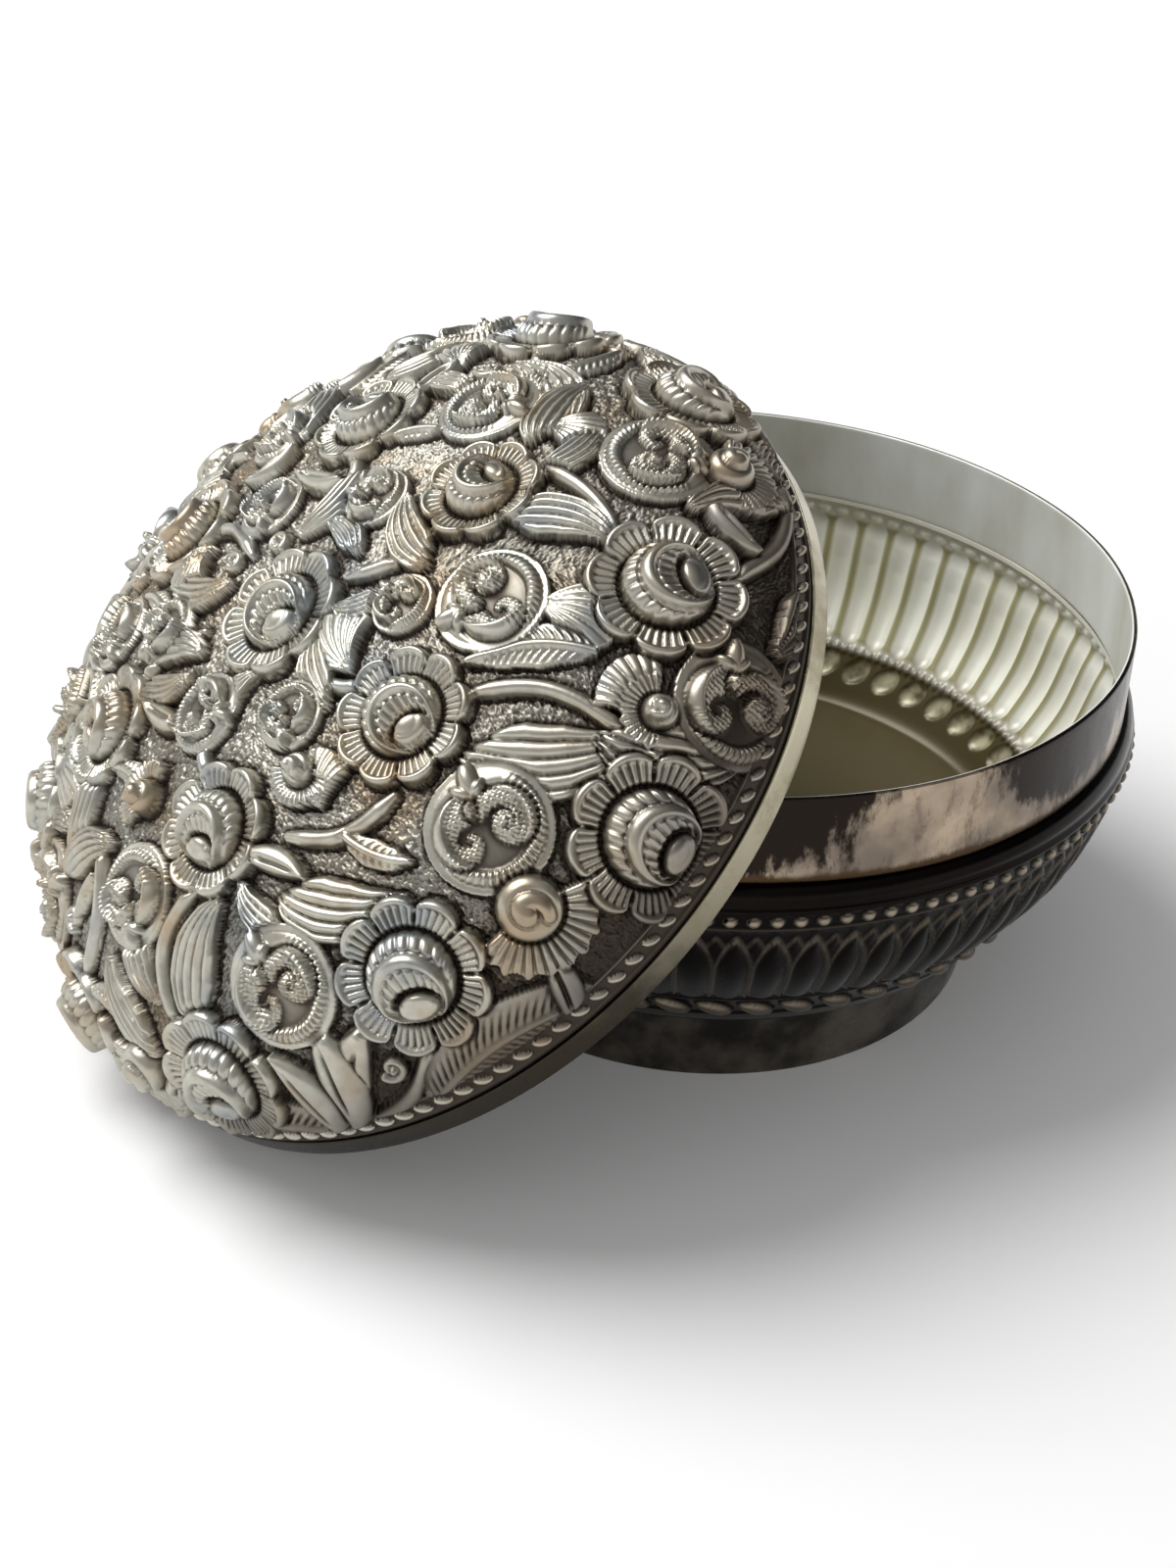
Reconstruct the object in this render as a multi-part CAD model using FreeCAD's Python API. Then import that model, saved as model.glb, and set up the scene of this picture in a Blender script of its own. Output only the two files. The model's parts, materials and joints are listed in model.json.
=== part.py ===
import FreeCAD, Part
import math
import os

# Round silver box: a fluted bowl with a plain neck and a ring foot, and a domed lid.
# The lid is off, and leans against the bowl with its edge on the floor.
# Lengths are in millimetres, Z is up, and the foot's ring stands on the floor around the origin.

# Neck: a plain strip, bent to a ring and soldered upright on the bowl.
neck_radius = 68.0
neck_height = 14.6
neck_sheet = 0.9

# Bowl: one raised sheet, from the flat floor up through the wall to a shoulder turned in under the neck.
bowl_sheet = 0.9
bowl_depth = 36.1
shoulder_overhang = 2.3
floor_ledge = 1.3
# The wall from the floor's edge to the shoulder, as shares of its spread and of the bowl's depth.
wall_shares = (
    (0.20, 0.09),
    (0.36, 0.22),
    (0.73, 0.51),
    (0.90, 0.76),
    (0.975, 0.90),
)

# Foot: a tapered ring, soldered under the bowl's floor.
foot_height = 15.6
foot_base_radius = 46.4
foot_top_radius = 49.2
foot_sheet = 1.1

# Lid: a domed sheet soldered on a plain strip that drops over the neck.
lid_clearance = 0.9
lid_strip_sheet = 1.2
lid_strip_height = 4.0
dome_sheet = 0.9
dome_height = 40.0
# The dome is a rounded square in section: a power of two would be an ellipse.
dome_side_power = 2.3
dome_top_power = 2.2
dome_steps = 9

# Lean: the lid's edge stands on the floor, and its mouth rests against the bowl's lip.
lean_angle = 41.8
lean_gap = 0.3

shoulder_radius = neck_radius + shoulder_overhang
floor_radius = foot_top_radius + floor_ledge
neck_base = foot_height + bowl_depth
lip_height = neck_base + neck_height
lid_mouth_radius = neck_radius + lid_clearance
lid_radius = lid_mouth_radius + lid_strip_sheet

full_turn = 360.0
sheet_steps = 30
axis_point = FreeCAD.Vector(0, 0, 0)
axis_up = FreeCAD.Vector(0, 0, 1)
outward = FreeCAD.Vector(1, 0, 0)


def at(radius, height):
    """A point of a profile, in the plane through the axis."""
    return FreeCAD.Vector(radius, 0, height)


def run(*points):
    """Straight edges from point to point."""
    return [Part.LineSegment(start, end).toShape() for start, end in zip(points, points[1:])]


def outer_curve(points, start_way, end_way):
    """The outside of a sheet, through the points, leaving and arriving in the given directions."""
    curve = Part.BSplineCurve()
    curve.interpolate(Points=points, InitialTangent=start_way, FinalTangent=end_way)
    return curve


def inner_curve(outer, sheet):
    """The inside of a sheet: the outside set in by its thickness, to the left of its run."""
    points = []
    for step in range(sheet_steps + 1):
        place = outer.FirstParameter + (outer.LastParameter - outer.FirstParameter) * step / sheet_steps
        way = outer.tangent(place)[0]
        points.append(outer.value(place) + FreeCAD.Vector(-way.z, 0, way.x) * sheet)
    curve = Part.BSplineCurve()
    curve.interpolate(Points=points)
    return curve


def turned(edges):
    """The solid of revolution of a closed profile."""
    face = Part.Face(Part.Wire(Part.__sortEdges__(edges)))
    return face.revolve(axis_point, axis_up, full_turn)


def strip_ring(base_radius, top_radius, sheet, base, height):
    """A flat strip bent to a ring: straight in section, and tapered if its two radii differ."""
    corners = (
        at(base_radius, base),
        at(top_radius, base + height),
        at(top_radius - sheet, base + height),
        at(base_radius - sheet, base),
    )
    return turned(run(*corners, corners[0]))


def bowl_body():
    spread = shoulder_radius - floor_radius
    points = [at(floor_radius, foot_height)]
    for across, up in wall_shares:
        points.append(at(floor_radius + spread * across, foot_height + bowl_depth * up))
    points.append(at(neck_radius, neck_base))
    outer = outer_curve(points, outward, -outward)
    inner = inner_curve(outer, bowl_sheet)
    floor_top = foot_height + bowl_sheet
    under = run(at(0, floor_top), at(0, foot_height), at(floor_radius, foot_height))
    # The shoulder turns in to a flat landing, as wide as the strip that stands on it.
    landing = run(
        at(neck_radius, neck_base),
        at(neck_radius - neck_sheet, neck_base),
        at(neck_radius - neck_sheet, neck_base - bowl_sheet),
        at(neck_radius, neck_base - bowl_sheet),
    )
    floor = run(at(floor_radius, floor_top), at(0, floor_top))
    return turned(under + [outer.toShape()] + landing + [inner.toShape()] + floor)


def lid_dome():
    points = []
    for step in range(dome_steps + 1):
        turn = math.pi / 2 * step / dome_steps
        across = max(math.cos(turn), 0.0) ** (2 / dome_side_power)
        up = math.sin(turn) ** (2 / dome_top_power)
        points.append(at(lid_radius * across, lid_strip_height + dome_height * up))
    outer = outer_curve(points, axis_up, -outward)
    inner = inner_curve(outer, dome_sheet)
    crown = lid_strip_height + dome_height
    centre = run(at(0, crown), at(0, crown - dome_sheet))
    edge = run(at(lid_radius - dome_sheet, lid_strip_height), at(lid_radius, lid_strip_height))
    return turned([outer.toShape()] + centre + [inner.toShape()] + edge)


def leaning(solid):
    """The lid's own frame set against the bowl: edge on the floor, mouth just clear of the lip."""
    lean = math.radians(lean_angle)
    rise = lid_radius * math.sin(lean)
    # Where the mouth's circle crosses the height of the lip, it stands just outside the neck.
    climb = (lip_height - rise) / math.sin(lean)
    half_width = math.sqrt(lid_mouth_radius ** 2 - climb ** 2)
    back = math.sqrt((neck_radius + lean_gap) ** 2 - half_width ** 2)
    centre = -back - climb * math.cos(lean)
    turn = FreeCAD.Rotation(FreeCAD.Vector(0, 1, 0), -lean_angle)
    return solid.transformed(FreeCAD.Placement(at(centre, rise), turn).toMatrix())


nodes = {
    "foot_ring": strip_ring(foot_base_radius, foot_top_radius, foot_sheet, 0, foot_height),
    "bowl_body": bowl_body(),
    "neck_band": strip_ring(neck_radius, neck_radius, neck_sheet, neck_base, neck_height),
    "lid_band": leaning(strip_ring(lid_radius, lid_radius, lid_strip_sheet, 0, lid_strip_height)),
    "lid_dome": leaning(lid_dome()),
}

os.makedirs("parts", exist_ok=True)
for name, solid in nodes.items():
    solid.exportStep("parts/" + name + ".step")
    box = solid.BoundBox
    print(name, solid.isValid(), len(solid.Solids), round(solid.Volume, 1),
          [round(v, 2) for v in (box.XMin, box.YMin, box.ZMin, box.XMax, box.YMax, box.ZMax)])
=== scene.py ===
import json
import math

import bpy
import numpy as np
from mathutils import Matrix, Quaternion, Vector


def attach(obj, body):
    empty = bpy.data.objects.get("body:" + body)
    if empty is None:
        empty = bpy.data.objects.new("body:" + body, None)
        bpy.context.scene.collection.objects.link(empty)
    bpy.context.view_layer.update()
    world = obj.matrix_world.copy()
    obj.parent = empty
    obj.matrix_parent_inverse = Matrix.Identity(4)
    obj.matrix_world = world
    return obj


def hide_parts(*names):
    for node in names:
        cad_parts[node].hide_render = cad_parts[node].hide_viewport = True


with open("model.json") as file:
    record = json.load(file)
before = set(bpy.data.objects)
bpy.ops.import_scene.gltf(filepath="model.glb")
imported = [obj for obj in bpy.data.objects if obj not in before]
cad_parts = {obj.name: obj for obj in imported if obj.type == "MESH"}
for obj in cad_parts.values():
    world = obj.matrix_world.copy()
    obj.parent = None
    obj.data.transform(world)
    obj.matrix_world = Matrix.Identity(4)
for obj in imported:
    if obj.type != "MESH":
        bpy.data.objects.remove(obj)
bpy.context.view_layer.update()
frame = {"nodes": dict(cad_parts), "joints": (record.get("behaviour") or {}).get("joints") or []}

# Foot ring
# A plain strip of silver sheet, bent to a tapered ring and soldered under the bowl's floor.
# Nobody polishes it, so it has turned nearly black, in cloudy patches.

mm = 0.001
# How far its edges are rounded over, the spacing of points along its section, and how many go round.
foot_edge = 0.35
foot_spacing = 1.2
foot_columns = 360


def node_points(node):
    """The corners of a CAD node's mesh, in millimetres."""
    mesh = frame["nodes"][node].data
    points = np.empty(len(mesh.vertices) * 3)
    mesh.vertices.foreach_get("co", points)
    return points.reshape(-1, 3) / mm


def node_section(node):
    """How far each corner of a CAD node's mesh is from the bowl's axis, and how high, in millimetres."""
    points = node_points(node)
    return np.hypot(points[:, 0], points[:, 1]), points[:, 2]


def strip_section(base_radius, top_radius, sheet, base, top, edge, spacing):
    """A strip bent to a ring, as an outline of (radius, height), with rounded edges and points along its
    sides. The two radii are those of its outside."""
    inner_base, inner_top = base_radius - sheet, top_radius - sheet
    corners = np.array([(inner_base, base), (base_radius, base), (top_radius, top), (inner_top, top)])
    bend = np.linspace(0, 1, 5)[:, None]
    arcs = []
    for before, corner, after in zip(np.roll(corners, 1, 0), corners, np.roll(corners, -1, 0)):
        start = corner + (before - corner) * edge / np.linalg.norm(before - corner)
        end = corner + (after - corner) * edge / np.linalg.norm(after - corner)
        arcs.append((1 - bend) ** 2 * start + 2 * bend * (1 - bend) * corner + bend ** 2 * end)
    outline = []
    for arc, following in zip(arcs, arcs[1:] + arcs[:1]):
        steps = max(2, math.ceil(np.linalg.norm(following[0] - arc[-1]) / spacing))
        along = np.linspace(0, 1, steps, endpoint=False)[1:, None]
        outline.append(arc)
        outline.append(arc[-1] + (following[0] - arc[-1]) * along)
    return np.concatenate(outline)


def make_piece(name, points, faces, bake_places):
    """One smooth mesh: points in millimetres, faces as arrays of point numbers, and a bake map."""
    mesh = bpy.data.meshes.new(name)
    corners = np.concatenate([group.ravel() for group in faces])
    sizes = np.concatenate([np.full(len(group), group.shape[1]) for group in faces])
    mesh.vertices.add(len(points))
    mesh.vertices.foreach_set("co", (points * mm).ravel())
    mesh.loops.add(len(corners))
    mesh.loops.foreach_set("vertex_index", corners)
    mesh.polygons.add(len(sizes))
    mesh.polygons.foreach_set("loop_start", np.cumsum(sizes) - sizes)
    mesh.polygons.foreach_set("use_smooth", np.ones(len(sizes), bool))
    mesh.update(calc_edges=True)
    mesh.uv_layers.new(name="OFBake").data.foreach_set("uv", bake_places.ravel())
    piece = bpy.data.objects.new(name, mesh)
    bpy.context.scene.collection.objects.link(piece)
    return piece


def turned_piece(name, points, looped):
    """A mesh from rows of points round an axis: the last row joins the first, or both ends are closed."""
    rows, columns = points.shape[:2]
    number = np.arange(rows * columns).reshape(rows, columns)
    low = number if looped else number[:-1]
    high = np.roll(number, -1, axis=0) if looped else number[1:]
    quads = np.stack([low, np.roll(low, -1, 1), np.roll(high, -1, 1), high], axis=-1)
    up = np.arange(len(low))[:, None] / len(low) + np.zeros(columns)
    along = np.arange(columns)[None, :] / columns + np.zeros((len(low), 1))
    next_up, next_along = up + 1 / len(low), along + 1 / columns
    places = np.stack([along, up, next_along, up, next_along, next_up, along, next_up], axis=-1)
    faces = [quads.reshape(-1, 4)]
    places = [places.reshape(-1, 2)]
    if not looped:
        faces += [number[:1, ::-1], number[-1:]]
        places += [np.zeros((columns, 2)), np.ones((columns, 2))]
    return make_piece(name, points.reshape(-1, 3), faces, np.concatenate(places))


def round_turns(columns):
    """How far round each column of points lies, in radians."""
    return np.linspace(0, 2 * math.pi, columns, endpoint=False)


def spun(outline, columns):
    """Rows of points from an outline of (radius, height), turned about the bowl's axis."""
    angle = round_turns(columns)
    radius, height = outline[:, :1], outline[:, 1:]
    return np.stack([radius * np.cos(angle), radius * np.sin(angle), height + 0 * angle], axis=-1)


def linear(code):
    """A colour written as sRGB hex, in the linear values that a shader takes."""
    parts = [int(code[place:place + 2], 16) / 255 for place in (1, 3, 5)]
    return [part / 12.92 if part <= 0.04045 else ((part + 0.055) / 1.055) ** 2.4 for part in parts] + [1.0]


def per(size):
    """The pattern scale that gives features of a size in millimetres."""
    return 1 / (size * mm)


def add(tree, kind, settings, sockets):
    """One shader node, with its settings, and its sockets set to values or linked to other sockets."""
    node = tree.nodes.new("ShaderNode" + kind)
    for name, value in settings.items():
        setattr(node, name, value)
    for name, value in sockets.items():
        if isinstance(value, bpy.types.NodeSocket):
            tree.links.new(value, node.inputs[name])
        else:
            node.inputs[name].default_value = value
    return node.outputs


def new_metal(name, metallic=1.0):
    """A metal to be filled in: the material, its node tree and places on the piece."""
    metal = bpy.data.materials.new(name)
    metal.use_nodes = True
    tree = metal.node_tree
    tree.nodes["Principled BSDF"].inputs["Metallic"].default_value = metallic
    return metal, tree, add(tree, "TexCoord", {}, {})["Object"]


def put_on(piece, metal, colour, dull, bump=None):
    """Links a metal's colour, roughness and bump to its shader, and puts it on a piece."""
    shader = metal.node_tree.nodes["Principled BSDF"]
    for name, socket in (("Base Color", colour), ("Roughness", dull), ("Normal", bump)):
        if socket is not None:
            metal.node_tree.links.new(socket, shader.inputs[name])
    piece.data.materials.append(metal)


foot_radius, foot_height = node_section("foot_ring")
foot_top = foot_height.max()
at_floor = foot_height < foot_top / 2
foot_sheet = np.ptp(foot_radius[at_floor])
foot_base_radius = foot_radius[at_floor].max()
foot_top_radius = foot_radius[~at_floor].max()
foot_outline = strip_section(
    foot_base_radius, foot_top_radius, foot_sheet, 0, foot_top, foot_edge, foot_spacing
)
foot = turned_piece("foot_ring_silver", spun(foot_outline, foot_columns), looped=True)

# Settings that many nodes share: a mix of two colours, and a range that eases in and out.
of_colours = {"data_type": "RGBA"}
eased = {"interpolation_type": "SMOOTHSTEP"}

# Unpolished silver: sulphide has turned it nearly black, in cloudy patches, with a dull grey sheen.
foot_metal, tree, place = new_metal("blackened_silver_sheet")
clouds = add(tree, "TexNoise", {}, {"Vector": place, "Scale": per(14), "Detail": 5, "Roughness": 0.6})["Fac"]
patches = add(tree, "MapRange", eased, {0: clouds, 1: 0.35, 2: 0.7, 3: 0, 4: 1})[0]
colour = add(tree, "Mix", of_colours, {0: patches, 6: linear("#34312e"), 7: linear("#787168")})[2]
dull = add(tree, "MapRange", {}, {0: clouds, 1: 0.3, 2: 0.7, 3: 0.42, 4: 0.26})[0]
dents = add(tree, "TexNoise", {}, {"Vector": place, "Scale": per(9), "Detail": 2})["Fac"]
bump = add(tree, "Bump", {}, {"Strength": 0.35, "Distance": 0.3 * mm, "Height": dents})[0]
put_on(foot, foot_metal, colour, dull, bump)
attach(foot, "bowl")
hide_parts("foot_ring")

# Bowl
# One raised sheet of silver: the floor, the wall worked from inside into upright petals between
# rows of beads, and a smooth shoulder. The same blows leave scoops and dimples on the inside.

bowl_columns = 1512
bowl_spacing = 0.35
bowl_sheet = 0.9
# The wall from the floor's edge to the shoulder, as shares of its spread and of the bowl's depth.
wall_shares = ((0.0, 0.0), (0.20, 0.09), (0.36, 0.22), (0.73, 0.51), (0.90, 0.76), (0.975, 0.90))
shoulder_overhang = 2.3
# Heights above the table: the large beads over the foot, the petals, and the small beads below the
# shoulder. Then how many go round, and the radius at which the petals' widths are measured.
foot_bead_height = 22.0
petal_base_height = 25.4
petal_tip_height = 42.6
shoulder_bead_height = 46.2
foot_beads = 56
petals_round = 72
shoulder_beads = 126
petal_radius = 62.0
half_pitch = math.pi * petal_radius / petals_round
outline_width = 0.30


def smooth_line(points, spacing, start=None, end=None):
    """Evenly spaced points along a smooth curve through a few points, with its end directions if given."""
    points = np.array(points, float)
    gaps = np.linalg.norm(np.diff(points, axis=0), axis=1)
    last = len(points) - 1
    weights = np.zeros((last + 1, last + 1))
    wanted = np.zeros(points.shape)
    weights[0, :2] = (2, 1) if start is None else (1, 0)
    wanted[0] = 3 * (points[1] - points[0]) / gaps[0] if start is None else start
    weights[last, last - 1:] = (1, 2) if end is None else (0, 1)
    wanted[last] = 3 * (points[last] - points[last - 1]) / gaps[-1] if end is None else end
    for knot in range(1, last):
        before, after = gaps[knot - 1], gaps[knot]
        weights[knot, knot - 1:knot + 2] = (after, 2 * (before + after), before)
        arriving = (points[knot] - points[knot - 1]) / before
        leaving = (points[knot + 1] - points[knot]) / after
        wanted[knot] = 3 * (after * arriving + before * leaving)
    slopes = np.linalg.solve(weights, wanted)
    fine = []
    for knot, gap in enumerate(gaps):
        t = np.linspace(0, 1, 40, endpoint=knot == last - 1)[:, None]
        fine.append(
            points[knot] * (1 + 2 * t) * (1 - t) ** 2
            + slopes[knot] * gap * t * (1 - t) ** 2
            + points[knot + 1] * t ** 2 * (3 - 2 * t)
            + slopes[knot + 1] * gap * t ** 2 * (t - 1)
        )
    fine = np.concatenate(fine)
    run = np.concatenate([[0], np.cumsum(np.linalg.norm(np.diff(fine, axis=0), axis=1))])
    even = np.linspace(0, run[-1], max(2, math.ceil(run[-1] / spacing) + 1))
    return np.stack([np.interp(even, run, fine[:, axis]) for axis in range(points.shape[1])], axis=-1)


def outward(line):
    """The outward direction at each point of a line in section that climbs the outside of a piece."""
    way = np.gradient(line, axis=0)
    way /= np.linalg.norm(way, axis=1)[:, None]
    return np.stack([way[:, 1], -way[:, 0]], axis=-1)


def part_turn(count, slant=0.0):
    """Where each column lies in its share of the round, from -1 to 1, for a pattern repeated count times."""
    share = np.arange(bowl_columns) / bowl_columns * count
    return 2 * ((share + slant) % 1) - 1


def bead_row(level, middle, half_height, count, filled, raised, slant=0.0):
    """A row of beads round the bowl: filled is the share of the spacing that a bead takes."""
    climb = ((level - middle) / half_height)[:, None]
    across = part_turn(count, slant * climb) / filled
    return raised * np.sqrt(np.clip(1 - climb ** 2 - across ** 2, 0, 1))


def bell(distance, width):
    """A smooth bump: one in its middle, fading over a width."""
    return np.exp(-(distance / width) ** 2)


def ridge(level, middle, half_width, raised):
    """A fine raised line round the bowl, or a groove where raised is below zero."""
    return raised * bell(level - middle, half_width)[:, None]


def petal_row(level, shift, tall, outline):
    """A row of pointed upright petals: how far each point swells, and where the thin raised outlines run."""
    climb = ((level - petal_base_height) / (petal_tip_height - petal_base_height))[:, None]
    across = np.abs(part_turn(petals_round, shift))
    # A petal takes nearly its whole spacing, and narrows to a point over its upper part.
    half = 0.94 * (1 - np.clip((climb - 0.6) / 0.4, 0, 1) ** 1.5)
    inside = np.clip(1 - (across / np.maximum(half, 0.25)) ** 2, 0, 1) * np.clip(half / 0.25, 0, 1)
    ends = np.clip(climb / 0.10, 0, 1) * np.clip((1.04 - climb) / 0.06, 0, 1)
    edge = bell((across - half) * half_pitch, outline_width)
    return tall * inside * ends, outline * edge * ends


def mark(piece, name, values):
    """A value at each point of a piece, for its material to read."""
    piece.data.attributes.new(name, "FLOAT", "POINT").data.foreach_set("value", values.ravel())


bowl_radius, bowl_height = node_section("bowl_body")
floor_under = bowl_height.min()
neck_base = bowl_height.max()
floor_radius = bowl_radius[bowl_height < floor_under + bowl_sheet / 2].max()
neck_reach, neck_height = node_section("neck_band")
neck_lip = neck_height.max()
neck_radius = neck_reach.max()
neck_sheet = neck_radius - neck_reach.min()

wall_spread = neck_radius + shoulder_overhang - floor_radius
bowl_depth = neck_base - floor_under
wall_knots = [(floor_radius + wall_spread * out, floor_under + bowl_depth * up) for out, up in wall_shares]
wall_line = smooth_line(wall_knots + [(neck_radius, neck_base)], bowl_spacing, start=(1, 0), end=(-1, 0))
wall_out = outward(wall_line)
level = wall_line[:, 1]

# The outside: large slanting beads over the foot, petals in front of petals, and beads between fine lines.
front, front_edge = petal_row(level, shift=0.0, tall=0.9, outline=0.4)
behind, behind_edge = petal_row(level, shift=0.5, tall=0.5, outline=0.25)
petals = np.maximum(front, np.where(front > 0.02, 0, behind))
edges = np.maximum(front_edge, np.where(front > 0.05, 0, behind_edge))
rows = (
    bead_row(level, foot_bead_height, 1.8, foot_beads, filled=0.74, raised=1.4, slant=0.3)
    + bead_row(level, shoulder_bead_height, 0.95, shoulder_beads, filled=0.64, raised=0.8)
    + ridge(level, foot_bead_height + 2.75, half_width=0.4, raised=0.4)
    + ridge(level, foot_bead_height - 2.5, half_width=0.35, raised=0.3)
    + ridge(level, shoulder_bead_height - 1.7, half_width=0.4, raised=0.35)
    + ridge(level, shoulder_bead_height + 1.6, half_width=0.35, raised=0.3)
)
shoulder_groove = ridge(level, shoulder_bead_height + 2.7, half_width=0.3, raised=-0.25)
outside_relief = petals + edges + rows + shoulder_groove

# The inside: scoops and dimples that go outwards into the sheet, shallow where the outside is plain. The
# upper and lower ends of the scoops have small beads, which stand up inside, and dimples run round the floor.
inner_bead_height = 48.4
scoop_top_height = 47.8
scoop_half_height = (scoop_top_height - petal_base_height) / 2
scoop_half_width = 0.43 * 2 * half_pitch
scoop_middle = (scoop_top_height + petal_base_height) / 2
scoop_side = part_turn(petals_round) * half_pitch
scoop_beyond = np.clip(np.abs(level - scoop_middle) - scoop_half_height + scoop_half_width, 0, None)[:, None]
scoop_share = np.clip(1 - (np.hypot(scoop_side, scoop_beyond) / scoop_half_width) ** 2.0, 0, 1)
deep_scoop, shallow_scoop = 1.3, 0.7
scoop_levels = (petal_tip_height - 3, petal_tip_height + 1)
scoop_depth = np.interp(level, scoop_levels, (deep_scoop, shallow_scoop))[:, None]
dimples = bead_row(level, foot_bead_height, 2.2, foot_beads, filled=0.78, raised=1.0, slant=0.15)
inside_relief = (
    scoop_depth * scoop_share
    + 0.8 * dimples
    - bead_row(level, inner_bead_height, 0.95, shoulder_beads, filled=0.72, raised=0.7)
    - bead_row(level, petal_base_height - 0.6, 0.8, 3 * petals_round, filled=0.8, raised=0.5)
)

bowl_turn = round_turns(bowl_columns)


def bowl_rows(line, away, relief):
    """Rows of points of the bowl's wall: its line in section, moved out along away by the relief."""
    moved = line[:, None, :] + away[:, None, :] * relief[:, :, None]
    reach, height = moved[..., 0], moved[..., 1]
    return np.stack([reach * np.cos(bowl_turn), reach * np.sin(bowl_turn), height], axis=-1)


# The floor's rings end close to its middle, which one small face closes. The landing that the neck stands
# on has rows close to its corners, which keep them crisp.
middle_ring = 0.6
under_rows, over_rows = 34, 40
corner_gap = 0.05
under_rings = np.linspace(middle_ring, floor_radius, under_rows)[:-1]
under_line = np.stack([under_rings, np.full(len(under_rings), floor_under)], axis=-1)
inside_line = (wall_line - wall_out * bowl_sheet)[::-1]
landing_drops = np.array((0, corner_gap, bowl_sheet - corner_gap, bowl_sheet))
landing_line = np.stack([np.full(4, neck_radius - neck_sheet), neck_base - landing_drops], axis=-1)
over_rings = np.linspace(inside_line[-1, 0], middle_ring, over_rows)[1:]
over_line = np.stack([over_rings, np.full(len(over_rings), inside_line[-1, 1])], axis=-1)
bowl_surface = np.concatenate(
    [
        spun(under_line, bowl_columns),
        bowl_rows(wall_line, wall_out, outside_relief),
        spun(landing_line, bowl_columns),
        bowl_rows(inside_line, wall_out[::-1], inside_relief[::-1]),
        spun(over_line, bowl_columns),
    ]
)
bowl = turned_piece("bowl_silver", bowl_surface, looped=False)

# The recess mark says how far each point is darkened. Outside, the petals stay black, and rubbing bares the
# small beads, half bares the large ones, and reaches the petals' edges: their pale tops and edges are both
# wear and painted highlight. Inside, it marks the olive painted shade between the scoops.
recess = np.zeros(bowl_surface.shape[:2])
outside_rows = slice(len(under_line), len(under_line) + len(level))
bead_rub_and_highlight = np.where(level < petal_base_height, 0.5, 1.0)[:, None] * np.clip((rows - 0.25) / 0.5, 0, 1)
recess[outside_rows] = np.clip(1 - edges / 1.5 - bead_rub_and_highlight, 0, 1)
inside_start = outside_rows.stop + len(landing_line)
inside_rows = slice(inside_start, inside_start + len(level))
# Painted shade: the olive between the scoops stands for the shade in the grooves.
scoop_ends = np.clip(2.6 - 3 * scoop_beyond / scoop_half_width, 0, 1)
between = np.clip(1 - scoop_share / 0.45, 0, 1) * scoop_ends
recess[inside_rows] = between[::-1]
mark(bowl, "recess", recess)
worn = np.zeros(bowl_surface.shape[:2])
worn[inside_rows] = dimples[::-1]
mark(bowl, "worn", worn)

# Oxidised silver: nearly black over the petals, and rubbed paler on the beads and the petals' edges, which is
# both wear and painted highlight.
bowl_metal, tree, place = new_metal("oxidised_chased_silver")
depth = add(tree, "Attribute", {"attribute_name": "recess"}, {})["Fac"]
clouds = add(tree, "TexNoise", {}, {"Vector": place, "Scale": per(11), "Detail": 5, "Roughness": 0.6})["Fac"]
# The paler colour on the bead tops and petal edges is wear and painted highlight.
rubbed = add(tree, "Mix", of_colours, {0: clouds, 6: linear("#6a6157"), 7: linear("#b5a894")})[2]
dark = add(tree, "Mix", of_colours, {0: clouds, 6: linear("#0d0b0a"), 7: linear("#1e1a18")})[2]
colour = add(tree, "Mix", of_colours, {0: depth, 6: rubbed, 7: dark})[2]
dull = add(tree, "MapRange", {}, {0: clouds, 1: 0.3, 2: 0.7, 3: 0.18, 4: 0.32})[0]
put_on(bowl, bowl_metal, colour, dull)

# Whitened silver: pickled in acid after soldering, which leaves a frosted white skin on the metal. It is
# pale on the scoops, olive between them, which is painted shade, and dark and brownish on the floor, with
# paler dimples round it.
brown_top, pale_from = petal_base_height + 1.2, petal_base_height + 5
inner_metal, tree, place = new_metal("whitened_silver_interior", metallic=0.25)
depth = add(tree, "Attribute", {"attribute_name": "recess"}, {})["Fac"]
height = add(tree, "SeparateXYZ", {}, {0: place})["Z"]
clouds = add(tree, "TexNoise", {}, {"Vector": place, "Scale": per(16), "Detail": 4})["Fac"]
cloudy_height = add(tree, "Math", {"operation": "MULTIPLY_ADD"}, {0: clouds, 1: 4 * mm, 2: height})[0]
low = add(tree, "MapRange", eased, {0: cloudy_height, 1: brown_top * mm, 2: pale_from * mm, 3: 1, 4: 0})[0]
mottle = add(tree, "MapRange", {}, {0: clouds, 1: 0.35, 2: 0.75, 3: 0, 4: 0.5})[0]
pale = add(tree, "Mix", of_colours, {0: mottle, 6: linear("#fcfcf1"), 7: linear("#ebe7cd")})[2]
edged = add(tree, "Mix", of_colours, {0: depth, 6: pale, 7: linear("#a39d72")})[2]
dimpled = add(tree, "Attribute", {"attribute_name": "worn"}, {})["Fac"]
blotches = add(tree, "TexNoise", {}, {"Vector": place, "Scale": per(4), "Detail": 3})["Fac"]
blotched = add(tree, "MapRange", eased, {0: blotches, 1: 0.3, 2: 0.65, 3: 0, 4: 1})[0]
rubbed = add(tree, "Math", {"operation": "MULTIPLY"}, {0: dimpled, 1: blotched})[0]
brown = add(tree, "Mix", of_colours, {0: rubbed, 6: linear("#4f4528"), 7: linear("#c9c2a2")})[2]
colour = add(tree, "Mix", of_colours, {0: low, 6: edged, 7: brown})[2]
dull = add(tree, "MapRange", {}, {0: low, 1: 0, 2: 1, 3: 0.5, 4: 0.36})[0]
put_on(bowl, inner_metal, colour, dull)

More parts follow.
